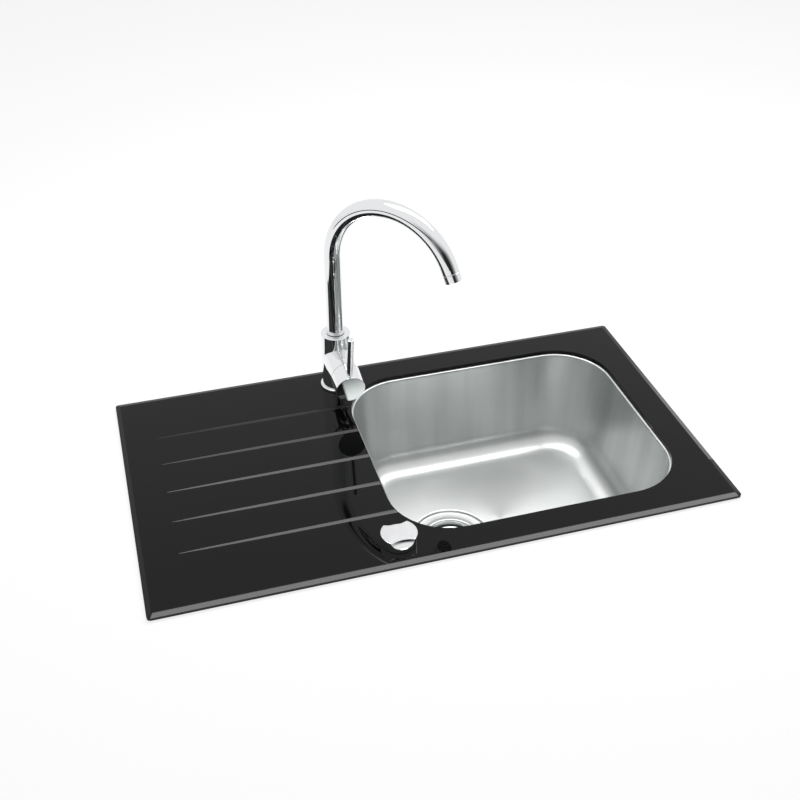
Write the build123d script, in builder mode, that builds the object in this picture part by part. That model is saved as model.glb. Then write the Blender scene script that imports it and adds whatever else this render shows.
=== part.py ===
from build123d import *
import os
from math import cos, radians, sin, tan

os.makedirs("parts", exist_ok=True)

# Inset kitchen sink: black glass top, steel bowl, swan-neck mixer tap and turn-knob waste.
# Millimetres. X runs along the sink towards the bowl, Y towards the back and Z up.
# The origin is the middle of the sink, on the surface of the worktop that it lies on.

# Glass top
sink_length = 900.0
sink_depth = 500.0
glass_thickness = 6.0
corner_radius = 5.0
bevel_width = 8.0
bevel_drop = 2.0
bevel_corner_radius = 1.0
hole_arris = 0.8

# Bowl opening in the glass, and the glass that is left beside it
opening_length = 467.0
opening_radius = 94.0
opening_end_margin = 55.5
opening_side_margin = 52.0
opening_x = sink_length / 2 - opening_end_margin - opening_length / 2
opening_width = sink_depth - 2 * opening_side_margin
opening_left_x = opening_x - opening_length / 2

# Drainer grooves, ground by a wheel that goes deeper towards the bowl
groove_count = 5
groove_pitch = 69.0
groove_margin = 57.0
groove_start_x = groove_margin - sink_length / 2
groove_wheel_radius = 6.0
groove_start_depth = 0.05
groove_end_depth = 1.55

# Holes in the glass for the tap and for the waste's turn knob, placed from the opening's left end
tap_offset = 2.5
tap_margin = 45.5
tap_x = opening_left_x - tap_offset
tap_y = sink_depth / 2 - tap_margin
tap_hole_radius = 17.5
knob_offset = 9.5
knob_margin = 49.0
knob_x = opening_left_x - knob_offset
knob_y = knob_margin - sink_depth / 2
knob_hole_radius = 17.5

# Foam seal under the edge, and the worktop that the sink is clamped to
rim_seal_thickness = 2.0
rim_seal_width = 8.0
rim_seal_setback = 1.5
worktop_thickness = 38.0

# Steel bowl, bonded under the glass
steel = 1.0
bond_thickness = 1.0
bond_setback = 2.0
rim_show = 3.5
flange_lap = 15.0
bowl_depth = 195.0
wall_draft = 3.5
floor_radius = 40.0
rim_bend = 3.0
recess_depth = 5.0
recess_radius = 66.0
recess_lip_radius = 2.9
recess_foot_radius = 1.9
waste_hole_radius = 45.0

# Clamps under the glass
channel_length = 50.0
channel_width = 16.0
channel_height = 9.0
channel_wall = 1.2
channel_slot = 7.6
channel_setback = 22.0
clamp_nut_size = 13.0
clamp_nut_height = 4.0
clamp_screw_radius = 2.5
clamp_screw_head_radius = 4.5
clamp_screw_head_height = 3.5
clamp_screw_slot = 1.0
clip_width = 20.0
clip_sheet = 2.0
clip_tooth_height = 8.0
clip_reach = 20.0
long_side_clip_x = (-340.0, -180.0, 90.0, 330.0)
short_side_clip_y = (-110.0, 110.0)

# Sound-deadening pads on the bowl
pad_thickness = 2.5
wall_pad_length = 180.0
wall_pad_height = 90.0
floor_pad_length = 170.0
floor_pad_width = 220.0
floor_pad_offset = 89.0
floor_pad_x = opening_x + floor_pad_offset

# Waste
waste_offset = 136.5
waste_x = opening_left_x + waste_offset
waste_y = -20.0
cup_seal_thickness = 1.5
cup_sheet = 1.2
cup_flange_thickness = 1.5
cup_flange_radius = 56.5
cup_shoulder_radius = 2.4
cup_mouth_radius = 43.6
cup_seat_outer_radius = 42.0
cup_seat_inner_radius = 37.0
cup_throat_depth = 6.0
cup_seat_depth = 13.0
cup_depth = 33.0
cup_drain_radius = 7.0
cup_drain_ring = 22.0
cup_drain_count = 6
bolt_radius = 6.0
bolt_head_radius = 10.0
bolt_head_height = 3.0
bolt_length = 31.0
body_seal_thickness = 2.5
waste_body_wall = 2.5
waste_body_flange_height = 4.5
waste_body_straight = 36.0
waste_body_cone = 20.0
waste_pipe_radius = 26.0
waste_pipe_bore = 20.0
waste_pipe_length = 19.0
outlet_thread_radius = 23.9
outlet_thread_length = 24.0
boss_radius = 9.5
boss_length = 28.8
rib_count = 3
rib_thickness = 3.0
plug_sheet = 1.2
plug_radius = 38.5
plug_bead = 2.4
plug_dish_depth = 3.0
plug_dish_radius = 31.0
plug_skirt_radius = 33.0
plug_skirt_depth = 14.0
plug_slot_count = 16
plug_slot_width = 5.0
plug_slot_height = 7.0
plug_hub_radius = 6.0
plug_hub_length = 9.0
plug_seal_thickness = 2.0
plug_seal_outer_radius = 40.0
plug_seal_inner_radius = 34.5
lifter_radius = 3.0
lifter_socket = 5.0
plug_lift = 9.0

# Turn knob that raises the plug
knob_radius = 27.0
knob_height = 17.0
knob_gap = 0.6
knob_edge_radius = 0.8
scoop_radius = 14.0
scoop_reach = 29.5
scoop_height = 21.5
scoop_bend_radius = 31.0
knob_seal_thickness = 1.0
knob_cavity_clearance = 0.7
housing_flange_radius = 23.0
housing_flange_thickness = 2.0
housing_thread_radius = 16.0
housing_wall = 3.0
housing_length = 36.0
knob_washer_thickness = 1.5
knob_nut_radius = 25.0
knob_nut_height = 8.0
knob_nut_notch_count = 8
knob_nut_notch_size = 6.0
spindle_radius = 6.0
spindle_end_radius = 3.5
spindle_socket = 9.0
knob_turn = 90.0
drum_flange_radius = 10.0
drum_flange_thickness = 2.0
drum_width = 8.0
drum_screw_radius = 1.5
drum_screw_length = 6.0
case_radius = 19.0
case_wall = 2.0
case_height = 14.0

# Cable ports of the knob and of the waste
port_radius = 3.5
port_bore = 1.6
port_wall = 2.0
port_length = 8.0
gland_head_radius = 5.0
gland_head_length = 5.0
sheath_socket_radius = 2.5
sheath_socket_depth = 9.0
elbow_radius = 12.0
elbow_tube_radius = 3.4

# Tap body
tap_seal_thickness = 1.0
base_ring_radius = 28.5
base_ring_height = 4.5
base_ring_edge = 2.0
body_radius = 24.8
body_top_height = 107.0
body_edge = 1.2
lever_height = 61.0
housing_radius = 24.6
seam_reach = 66.5
inlet_setback = 3.0
inlet_thread_radius = 4.5
inlet_thread_depth = 12.0
passage_radius = 3.0
cross_passage_radius = 2.6
drill_overrun = 1.0

# Spout
spout_azimuth = -48.5
tube_radius = 14.0
tube_wall = 1.5
bend_start_height = 250.0
bend_radius = 112.0
bend_angle = 157.0
tip_length = 6.5
slip_ring_thickness = 1.0
collar_radius = 15.3
collar_height = 3.0
foot_radius = 12.9
foot_length = 28.0
foot_bore_radius = 8.0
foot_braze_length = 10.0
o_ring_section = 1.5
o_ring_heights = (6.0, 22.0)
stop_groove_depth = 1.5
stop_groove_height = 14.0
stop_groove_width = 4.6
stop_screw_radius = 2.0
stop_screw_length = 9.0
aerator_radius = 13.8
aerator_length = 14.0
aerator_seam = 0.7
aerator_edge = 0.4
aerator_neck_length = 6.0
aerator_wall = 1.6
aerator_lip = 1.5
aerator_lip_radius = 10.5
aerator_seal_thickness = 1.5
aerator_cell_count = 6
aerator_cell_radius = 1.2

# Mixing cartridge and lever
cartridge_radius = 17.5
cartridge_back = 28.0
cartridge_seal_thickness = 1.0
cartridge_shoulder = 60.0
cartridge_neck_radius = 13.7
cartridge_bore_radius = 12.6
disc_seat = 43.0
disc_thickness = 4.0
port_ring_x = 8.0
inlet_port_drop = 4.0
outlet_port_rise = 7.5
carrier_length = 3.5
carrier_floor = 0.9
carrier_pocket_start = 0.2
carrier_pocket_height = 7.5
nut_radius = 20.9
nut_notch_count = 6
nut_notch_size = 5.0
cover_radius = 22.0
cover_wall = 1.2
cover_height = 3.2
cover_hole_radius = 15.5
stem_radius = 4.0
stem_reach = 20.0
stem_back = 14.0
tail_radius = 3.0
stem_pin_radius = 1.5
stem_pin_length = 23.0
collar_nose = 2.5
collar_slot_drop = 6.4
cap_radius = 24.5
cap_length = 34.0
cap_wall = 1.9
cap_cavity_depth = 22.6
cap_boss_radius = 7.5
cap_boss_start = 8.0
cap_rib_width = 7.0
cap_rib_start = 15.0
cap_edge = 0.8
seam_gap = 0.6
lever_rest_lean = 6.5
lever_lift = 20.0
lever_relief = 2.5
pin_reach = 25.8
pin_radius = 5.0
pin_length = 81.5
pin_lean = 4.5
pin_socket_depth = 1.5
pin_stub_radius = 2.5
pin_stub_length = 9.0
pin_tip_edge = 0.8
grub_screw_radius = 2.0
grub_screw_length = 9.0
grub_reach = 17.5

# Fixing of the tap under the glass
stud_radius = 4.0
stud_offset = 12.0
stud_hold = 10.0
stud_length = 66.0
clamp_radius = 25.0
clamp_gasket_thickness = 3.0
clamp_plate_thickness = 3.0
clamp_slot_half = 16.5
clamp_slot_start = 4.5
stud_nut_across_flats = 13.0
stud_nut_length = 20.0

# Clearances
running = 0.05
thread_gap = 0.1
free_gap = 0.3
level_tolerance = 0.01

# Levels and places worked out from the sizes above
glass_low = rim_seal_thickness
glass_high = glass_low + glass_thickness
flange_high = glass_low - bond_thickness
flange_low = flange_high - steel
floor_high = glass_high - bowl_depth
floor_low = floor_high - steel
recess_high = floor_high - recess_depth
recess_low = recess_high - steel
bowl_length = opening_length - 2 * rim_show
bowl_width = opening_width - 2 * rim_show
bowl_radius = opening_radius - rim_show


def disc_plane(x, y, z):
    return Plane(origin=(x, y, z))


def side_section(x, y):
    """Upright section plane through (x, y): its own x is +X and its own y is +Z."""
    return Plane(origin=(x, y, 0), x_dir=(1, 0, 0), z_dir=(0, -1, 0))


def upright_axis(x, y):
    return Axis((x, y, 0), (0, 0, 1))


def save(piece, name):
    piece.part.label = name
    export_step(piece.part, f"parts/{name}.step")


# Glass top: a slab with a wide flat bevel, the bowl opening, two holes and the grooves
with BuildPart() as glass_top:
    with BuildSketch(Plane.XY.offset(glass_low)):
        RectangleRounded(sink_length, sink_depth, corner_radius)
    extrude(amount=glass_thickness - bevel_drop)
    with BuildSketch(Plane.XY.offset(glass_high - bevel_drop)):
        RectangleRounded(sink_length, sink_depth, corner_radius)
    with BuildSketch(Plane.XY.offset(glass_high)):
        RectangleRounded(
            sink_length - 2 * bevel_width, sink_depth - 2 * bevel_width, bevel_corner_radius
        )
    loft()
    with BuildSketch(Plane.XY.offset(glass_low)):
        with Locations((opening_x, 0)):
            RectangleRounded(opening_length, opening_width, opening_radius)
        with Locations((tap_x, tap_y)):
            Circle(tap_hole_radius)
        with Locations((knob_x, knob_y)):
            Circle(knob_hole_radius)
    extrude(amount=glass_thickness, mode=Mode.SUBTRACT)
    hole_rims = glass_top.faces().sort_by(Axis.Z)[-1].inner_wires()
    chamfer([edge for rim in hole_rims for edge in rim.edges()], length=hole_arris)
    groove_run = opening_left_x - groove_start_x
    groove_fall = groove_end_depth - groove_start_depth
    for groove in range(groove_count):
        groove_y = (groove - (groove_count - 1) / 2) * groove_pitch
        groove_axis_z = glass_high + groove_wheel_radius - groove_start_depth
        groove_start = (groove_start_x, groove_y, groove_axis_z)
        with BuildSketch(Plane(origin=groove_start, z_dir=(groove_run, 0, -groove_fall))):
            Circle(groove_wheel_radius)
        extrude(amount=groove_run + opening_radius, mode=Mode.SUBTRACT)
save(glass_top, "glass_top")


# Steel bowl: pressed sheet with a flange under the glass and a recess round the waste
def bowl_form(grow):
    """The bowl's hollow, grown outwards by the sheet's thickness for its outer face."""
    with BuildPart() as form:
        with BuildSketch(Plane(origin=(opening_x, 0, flange_high), z_dir=(0, 0, -1))):
            RectangleRounded(bowl_length + 2 * grow, bowl_width + 2 * grow, bowl_radius + grow)
        extrude(amount=flange_high - floor_high + grow, taper=wall_draft)
        fillet(form.faces().sort_by(Axis.Z)[0].edges(), radius=floor_radius + grow)
        with BuildSketch(disc_plane(waste_x, waste_y, recess_high - grow)):
            Circle(recess_radius + grow)
        extrude(amount=recess_depth)
        recess_rims = form.edges().filter_by(GeomType.CIRCLE).group_by(Axis.Z)[:2]
        fillet(recess_rims[1], radius=recess_lip_radius - grow)
        fillet(form.faces().sort_by(Axis.Z)[0].edges(), radius=recess_foot_radius + grow)
    return form.part


bowl_outer_form = bowl_form(steel)
bowl_hollow_form = bowl_form(0)

with BuildPart() as steel_bowl:
    add(bowl_outer_form)
    with BuildSketch(Plane.XY.offset(flange_low)):
        with Locations((opening_x, 0)):
            RectangleRounded(
                opening_length + 2 * flange_lap,
                opening_width + 2 * flange_lap,
                opening_radius + flange_lap,
            )
    extrude(amount=steel)
    flange_under = steel_bowl.faces().filter_by(Plane.XY).filter_by_position(
        Axis.Z, flange_low - level_tolerance, flange_low + level_tolerance
    )
    fillet(flange_under.sort_by(SortBy.AREA)[-1].inner_wires()[0].edges(), radius=rim_bend - steel)
    add(bowl_hollow_form, mode=Mode.SUBTRACT)
    flange_top = steel_bowl.faces().sort_by(Axis.Z)[-1]
    fillet(flange_top.inner_wires()[0].edges(), radius=rim_bend)
    with BuildSketch(disc_plane(waste_x, waste_y, recess_low)):
        Circle(waste_hole_radius)
    extrude(amount=steel, mode=Mode.SUBTRACT)
save(steel_bowl, "steel_bowl")

# Adhesive between the glass and the bowl's flange
with BuildPart() as bowl_bond:
    with BuildSketch(Plane.XY.offset(flange_high)):
        with Locations((opening_x, 0)):
            for reach, mode in (
                (flange_lap - bond_setback / 2, Mode.ADD),
                (bond_setback, Mode.SUBTRACT),
            ):
                RectangleRounded(
                    opening_length + 2 * reach,
                    opening_width + 2 * reach,
                    opening_radius + reach,
                    mode=mode,
                )
    extrude(amount=bond_thickness)
save(bowl_bond, "bowl_bond")

# Foam seal that the glass lies on
with BuildPart() as rim_seal:
    with BuildSketch():
        for setback, mode in (
            (rim_seal_setback, Mode.ADD),
            (rim_seal_setback + rim_seal_width, Mode.SUBTRACT),
        ):
            RectangleRounded(
                sink_length - 2 * setback, sink_depth - 2 * setback, corner_radius, mode=mode
            )
    extrude(amount=rim_seal_thickness)
save(rim_seal, "rim_seal")

# Clamps: a short channel glued under the glass, a nut in it, a screw and a toothed clip.
# Each is drawn once at a spot on the back edge, where +Y points outwards.
clamp_y = sink_depth / 2 - channel_setback
clamp_x = sink_length / 2 - channel_setback
clamp_spots = (
    [Location((x, clamp_y, 0), (0, 0, 0)) for x in long_side_clip_x]
    + [Location((x, -clamp_y, 0), (0, 0, 180)) for x in long_side_clip_x]
    + [Location((clamp_x, y, 0), (0, 0, -90)) for y in short_side_clip_y]
    + [Location((-clamp_x, y, 0), (0, 0, 90)) for y in short_side_clip_y]
)
channel_low = glass_low - channel_height
channel_lip = channel_low + channel_wall
tooth_tip = -worktop_thickness
clip_base_high = tooth_tip - clip_tooth_height
clip_base_low = clip_base_high - clip_sheet

with BuildPart() as one_channel:
    with BuildSketch(Plane.YZ.offset(-channel_length / 2)):
        with Locations((0, glass_low)):
            Rectangle(channel_width, channel_height, align=(Align.CENTER, Align.MAX))
        with Locations((0, glass_low - channel_wall)):
            Rectangle(
                channel_width - 2 * channel_wall,
                channel_height - 2 * channel_wall,
                align=(Align.CENTER, Align.MAX),
                mode=Mode.SUBTRACT,
            )
        with Locations((0, channel_low)):
            Rectangle(
                channel_slot, channel_wall, align=(Align.CENTER, Align.MIN), mode=Mode.SUBTRACT
            )
    extrude(amount=channel_length)

with BuildPart() as one_channel_nut:
    with BuildSketch(Plane.XY.offset(channel_lip)):
        Rectangle(clamp_nut_size, clamp_nut_size)
        Circle(clamp_screw_radius + thread_gap, mode=Mode.SUBTRACT)
    extrude(amount=clamp_nut_height)

with BuildPart() as one_clip:
    with BuildSketch(Plane.YZ.offset(-clip_width / 2)):
        with BuildLine():
            Polyline(
                (-channel_width / 2, clip_base_low),
                (clip_reach, clip_base_low),
                (clip_reach, tooth_tip),
                (clip_reach - clip_sheet, tooth_tip),
                (clip_reach - clip_sheet, clip_base_high),
                (-channel_width / 2 + clip_sheet, clip_base_high),
                (-channel_width / 2 + clip_sheet, channel_low),
                (-channel_width / 2, channel_low),
                close=True,
            )
        make_face()
    extrude(amount=clip_width)
    with BuildSketch(Plane.XY.offset(clip_base_low)):
        Circle(clamp_screw_radius + free_gap)
    extrude(amount=clip_sheet, mode=Mode.SUBTRACT)

with BuildPart() as one_clip_screw:
    with BuildSketch(Plane.XY.offset(clip_base_low - clamp_screw_head_height)):
        Circle(clamp_screw_head_radius)
    extrude(amount=clamp_screw_head_height)
    with BuildSketch(Plane.XY.offset(clip_base_low)):
        Circle(clamp_screw_radius)
    extrude(amount=channel_lip + clamp_nut_height - clip_base_low)
    with BuildSketch(Plane.XY.offset(clip_base_low - clamp_screw_head_height)):
        Rectangle(2 * clamp_screw_radius, clamp_screw_slot)
        Rectangle(clamp_screw_slot, 2 * clamp_screw_radius)
    extrude(amount=clamp_screw_head_height / 2, mode=Mode.SUBTRACT)

with BuildPart() as clip_channels:
    with Locations(*clamp_spots):
        add(one_channel.part)
save(clip_channels, "clip_channels")

with BuildPart() as channel_nuts:
    with Locations(*clamp_spots):
        add(one_channel_nut.part)
save(channel_nuts, "channel_nuts")

with BuildPart() as clamp_clips:
    with Locations(*clamp_spots):
        add(one_clip.part)
save(clamp_clips, "clamp_clips")

with BuildPart() as clip_screws:
    with Locations(*clamp_spots):
        add(one_clip_screw.part)
save(clip_screws, "clip_screws")

# Sound-deadening pads on three walls and under the floor
pad_drop = (flange_high - floor_high) / 2
pad_lean = pad_drop * tan(radians(wall_draft))
pad_z = flange_high - pad_drop
back_wall_y = bowl_width / 2 + steel - pad_lean
right_wall_x = bowl_length / 2 + steel - pad_lean
wall_out = cos(radians(wall_draft))
wall_down = -sin(radians(wall_draft))
wall_faces = (
    Plane((opening_x, back_wall_y, pad_z), x_dir=(1, 0, 0), z_dir=(0, wall_out, wall_down)),
    Plane((opening_x, -back_wall_y, pad_z), x_dir=(1, 0, 0), z_dir=(0, -wall_out, wall_down)),
    Plane(
        (opening_x + right_wall_x, 0, pad_z), x_dir=(0, 1, 0), z_dir=(wall_out, 0, wall_down)
    ),
)
with BuildPart() as wall_damping_pads:
    for wall_face in wall_faces:
        with BuildSketch(wall_face):
            RectangleRounded(wall_pad_length, wall_pad_height, corner_radius)
        extrude(amount=pad_thickness)
save(wall_damping_pads, "wall_damping_pads")

with BuildPart() as floor_damping_pad:
    with BuildSketch(Plane(origin=(floor_pad_x, 0, floor_low), z_dir=(0, 0, -1))):
        RectangleRounded(floor_pad_length, floor_pad_width, corner_radius)
    extrude(amount=pad_thickness)
save(floor_damping_pad, "floor_damping_pad")

# Waste: strainer cup through the bowl, clamped to the body below by one hollow bolt
cup_flange_high = recess_high + cup_seal_thickness + cup_flange_thickness
cup_flange_low = recess_high + cup_seal_thickness
cup_outer = cup_mouth_radius + cup_sheet
cup_shoulder_x = cup_mouth_radius + cup_shoulder_radius
cup_seat_z = cup_flange_high - cup_seat_depth
cup_floor_z = cup_flange_high - cup_depth
cup_bottom_z = cup_floor_z - cup_sheet
waste_axis = upright_axis(waste_x, waste_y)
waste_section = side_section(waste_x, waste_y)

with BuildPart() as cup_seal:
    with BuildSketch(disc_plane(waste_x, waste_y, recess_high)):
        Circle(cup_flange_radius - free_gap)
        Circle(waste_hole_radius, mode=Mode.SUBTRACT)
    extrude(amount=cup_seal_thickness)
save(cup_seal, "cup_seal")

with BuildPart() as waste_cup:
    with BuildSketch(waste_section):
        with BuildLine():
            Line((cup_flange_radius, cup_flange_low), (cup_flange_radius, cup_flange_high))
            Line((cup_flange_radius, cup_flange_high), (cup_shoulder_x, cup_flange_high))
            CenterArc(
                (cup_shoulder_x, cup_flange_high - cup_shoulder_radius),
                cup_shoulder_radius,
                start_angle=90,
                arc_size=90,
            )
            Polyline(
                (cup_mouth_radius, cup_flange_high - cup_shoulder_radius),
                (cup_mouth_radius, cup_flange_high - cup_throat_depth),
                (cup_seat_outer_radius, cup_seat_z),
                (cup_seat_inner_radius, cup_seat_z),
                (cup_seat_inner_radius, cup_floor_z),
                (bolt_radius + thread_gap, cup_floor_z),
                (bolt_radius + thread_gap, cup_bottom_z),
                (cup_seat_inner_radius + cup_sheet, cup_bottom_z),
                (cup_seat_inner_radius + cup_sheet, cup_seat_z - cup_sheet),
                (cup_seat_outer_radius + cup_sheet, cup_seat_z - cup_sheet),
                (cup_outer, cup_flange_high - cup_throat_depth),
                (cup_outer, cup_flange_low),
                (cup_flange_radius, cup_flange_low),
            )
        make_face()
    revolve(axis=waste_axis)
    with BuildSketch(disc_plane(waste_x, waste_y, cup_bottom_z)):
        with PolarLocations(cup_drain_ring, cup_drain_count):
            Circle(cup_drain_radius)
    extrude(amount=cup_sheet, mode=Mode.SUBTRACT)
save(waste_cup, "waste_cup")

with BuildPart() as waste_bolt:
    with BuildSketch(disc_plane(waste_x, waste_y, cup_floor_z)):
        RegularPolygon(bolt_head_radius, 6)
    extrude(amount=bolt_head_height)
    with BuildSketch(disc_plane(waste_x, waste_y, cup_floor_z)):
        Circle(bolt_radius)
    extrude(amount=bolt_head_height - bolt_length)
    with BuildSketch(disc_plane(waste_x, waste_y, cup_floor_z + bolt_head_height)):
        Circle(lifter_radius + running)
    extrude(amount=-bolt_length, mode=Mode.SUBTRACT)
save(waste_bolt, "waste_bolt")

body_flange_high = recess_low - body_seal_thickness
body_inner = cup_outer + 2 * free_gap
body_outer = body_inner + waste_body_wall
body_straight_low = body_flange_high - waste_body_straight
body_cone_low = body_straight_low - waste_body_cone
body_pipe_low = body_cone_low - waste_pipe_length
outlet_low = body_pipe_low - outlet_thread_length
boss_low = cup_bottom_z - boss_length
elbow_z = boss_low - elbow_radius

with BuildPart() as waste_body_seal:
    with BuildSketch(disc_plane(waste_x, waste_y, body_flange_high)):
        Circle(cup_flange_radius - free_gap)
        Circle(body_inner, mode=Mode.SUBTRACT)
    extrude(amount=body_seal_thickness)
save(waste_body_seal, "waste_body_seal")

# Waste body: a ribbed boss inside takes the bolt, and an elbow guides the cable to the lifter.
# Its cable port looks away from the bowl's wide side.
waste_port_plane = Plane(origin=(waste_x, waste_y, elbow_z), z_dir=(-1, 0, 0))
waste_port_reach = waste_pipe_radius + port_length

with BuildPart() as boss_and_ribs:
    with BuildSketch(waste_section):
        with BuildLine():
            Polyline(
                (0, cup_bottom_z),
                (boss_radius, cup_bottom_z),
                (body_inner + waste_body_wall / 2, body_straight_low),
                (waste_pipe_bore + waste_body_wall / 2, body_cone_low),
                (boss_radius, boss_low),
                (0, boss_low),
                close=True,
            )
        make_face()
    revolve(axis=waste_axis)
    with BuildSketch(disc_plane(waste_x, waste_y, boss_low)):
        Circle(boss_radius)
        with PolarLocations(0, rib_count):
            Rectangle(body_outer, rib_thickness, align=(Align.MIN, Align.CENTER))
    extrude(amount=boss_length, mode=Mode.INTERSECT)

with BuildPart() as waste_body:
    with BuildSketch(waste_section):
        with BuildLine():
            Polyline(
                (body_inner, body_flange_high),
                (cup_flange_radius, body_flange_high),
                (cup_flange_radius, body_flange_high - waste_body_flange_height),
                (body_outer, body_flange_high - waste_body_flange_height),
                (body_outer, body_straight_low),
                (waste_pipe_radius, body_cone_low),
                (waste_pipe_radius, body_pipe_low),
                (outlet_thread_radius, body_pipe_low),
                (outlet_thread_radius, outlet_low),
                (waste_pipe_bore, outlet_low),
                (waste_pipe_bore, body_cone_low),
                (body_inner, body_straight_low),
                close=True,
            )
        make_face()
    revolve(axis=waste_axis)
    add(boss_and_ribs.part)
    with BuildLine(waste_section) as elbow_path:
        elbow_bend = CenterArc((-elbow_radius, boss_low), elbow_radius, 0, -90)
        Line(elbow_bend @ 1, (-waste_pipe_radius, elbow_z))
    with BuildSketch(disc_plane(waste_x, waste_y, boss_low)):
        Circle(elbow_tube_radius)
    sweep(path=elbow_path.line)
    with BuildSketch(waste_port_plane.offset(waste_pipe_bore)):
        Circle(port_radius + port_wall)
    extrude(amount=waste_port_reach - waste_pipe_bore)
    with BuildSketch(waste_port_plane.offset(waste_port_reach)):
        Circle(port_radius)
    extrude(amount=-port_length, mode=Mode.SUBTRACT)
    with BuildSketch(disc_plane(waste_x, waste_y, boss_low)):
        Circle(port_bore)
    sweep(path=elbow_path.line, mode=Mode.SUBTRACT)
    with BuildSketch(disc_plane(waste_x, waste_y, cup_bottom_z)):
        Circle(bolt_radius + thread_gap)
    extrude(amount=bolt_head_height - bolt_length + cup_sheet - free_gap, mode=Mode.SUBTRACT)
    with BuildSketch(disc_plane(waste_x, waste_y, cup_bottom_z)):
        Circle(lifter_radius + running)
    extrude(amount=-boss_length, mode=Mode.SUBTRACT)
save(waste_body, "waste_body")


def cable_gland(mouth_plane):
    """Screwed gland that holds the end of a cable's sheath; the plane lies on the port's mouth."""
    with BuildPart() as gland:
        with BuildSketch(mouth_plane):
            RegularPolygon(gland_head_radius, 6)
        extrude(amount=gland_head_length)
        with BuildSketch(mouth_plane):
            Circle(port_radius - thread_gap)
        extrude(amount=-port_length + free_gap)
        with BuildSketch(mouth_plane.offset(gland_head_length)):
            Circle(port_bore)
        extrude(amount=-port_length - gland_head_length, mode=Mode.SUBTRACT)
        with BuildSketch(mouth_plane.offset(gland_head_length)):
            Circle(sheath_socket_radius)
        extrude(amount=-sheath_socket_depth, mode=Mode.SUBTRACT)
    return gland


waste_cable_gland = cable_gland(waste_port_plane.offset(waste_port_reach))
save(waste_cable_gland, "waste_cable_gland")

# Basket plug on its seal, and the lifter pin that the cable pushes up
plug_low = cup_seat_z + plug_seal_thickness
plug_skirt_low = plug_low - plug_skirt_depth
plug_hub_low = plug_low - plug_dish_depth - plug_hub_length
lifter_low = cup_floor_z + bolt_head_height - bolt_length - free_gap

with BuildPart() as plug_seal:
    with BuildSketch(disc_plane(waste_x, waste_y, cup_seat_z)):
        Circle(plug_seal_outer_radius)
        Circle(plug_seal_inner_radius, mode=Mode.SUBTRACT)
    extrude(amount=plug_seal_thickness)
save(plug_seal, "plug_seal")

with BuildPart() as basket_plug:
    with BuildSketch(waste_section):
        with BuildLine():
            Polyline(
                (0, plug_low - plug_dish_depth + plug_sheet),
                (plug_dish_radius, plug_low - plug_dish_depth + plug_sheet),
                (plug_skirt_radius, plug_low + plug_sheet),
                (plug_radius - 2 * plug_sheet, plug_low + plug_bead),
                (plug_radius, plug_low + plug_sheet),
                (plug_radius, plug_low),
                (plug_skirt_radius, plug_low),
                (plug_skirt_radius, plug_skirt_low),
                (plug_skirt_radius - plug_sheet, plug_skirt_low),
                (plug_skirt_radius - plug_sheet, plug_low - plug_dish_depth),
                (plug_hub_radius, plug_low - plug_dish_depth),
                (plug_hub_radius, plug_hub_low),
                (0, plug_hub_low),
                close=True,
            )
        make_face()
    revolve(axis=waste_axis)
    slot_z = plug_skirt_low + plug_sheet + plug_slot_height / 2
    with Locations((waste_x, waste_y, slot_z)):
        with PolarLocations(plug_skirt_radius, plug_slot_count):
            Box(4 * plug_sheet, plug_slot_width, plug_slot_height, mode=Mode.SUBTRACT)
    with BuildSketch(disc_plane(waste_x, waste_y, plug_hub_low)):
        Circle(lifter_radius)
    extrude(amount=lifter_socket, mode=Mode.SUBTRACT)
save(basket_plug, "basket_plug")

with BuildPart() as lifter_pin:
    with BuildSketch(disc_plane(waste_x, waste_y, lifter_low)):
        Circle(lifter_radius)
    extrude(amount=plug_hub_low + lifter_socket - lifter_low)
save(lifter_pin, "lifter_pin")

# Turn knob, its threaded housing in the glass, and the cable drum in a case below
knob_seal_high = glass_high + knob_seal_thickness
housing_high = knob_seal_high + housing_flange_thickness
housing_low = housing_high - housing_length
knob_low = glass_high + knob_gap
knob_high = glass_high + knob_height
case_low = housing_low - case_height
drum_high = housing_low - case_wall - free_gap
drum_low = drum_high - drum_width
drum_groove_radius = plug_lift / radians(knob_turn)
drum_middle_z = (drum_high + drum_low) / 2

with BuildPart() as knob_seal:
    with BuildSketch(disc_plane(knob_x, knob_y, glass_high)):
        Circle(housing_flange_radius - free_gap)
        Circle(housing_thread_radius + free_gap, mode=Mode.SUBTRACT)
    extrude(amount=knob_seal_thickness)
save(knob_seal, "knob_seal")

with BuildPart() as knob_housing:
    with BuildSketch(disc_plane(knob_x, knob_y, knob_seal_high)):
        Circle(housing_flange_radius)
    extrude(amount=housing_flange_thickness)
    with BuildSketch(disc_plane(knob_x, knob_y, housing_low)):
        Circle(housing_thread_radius)
    extrude(amount=housing_length)
    with BuildSketch(disc_plane(knob_x, knob_y, housing_low + housing_wall)):
        Circle(housing_thread_radius - housing_wall)
    extrude(amount=housing_length - 2 * housing_wall, mode=Mode.SUBTRACT)
    with BuildSketch(disc_plane(knob_x, knob_y, housing_low)):
        Circle(spindle_radius + running)
    extrude(amount=housing_length, mode=Mode.SUBTRACT)
save(knob_housing, "knob_housing")

with BuildPart() as knob_washer:
    with BuildSketch(disc_plane(knob_x, knob_y, glass_low)):
        Circle(knob_nut_radius)
        Circle(housing_thread_radius + thread_gap, mode=Mode.SUBTRACT)
    extrude(amount=-knob_washer_thickness)
save(knob_washer, "knob_washer")

with BuildPart() as knob_nut:
    with BuildSketch(disc_plane(knob_x, knob_y, glass_low - knob_washer_thickness)):
        Circle(knob_nut_radius)
        Circle(housing_thread_radius + thread_gap, mode=Mode.SUBTRACT)
        with PolarLocations(knob_nut_radius, knob_nut_notch_count):
            Rectangle(knob_nut_notch_size, knob_nut_notch_size, mode=Mode.SUBTRACT)
    extrude(amount=-knob_nut_height)
save(knob_nut, "knob_nut")

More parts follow.
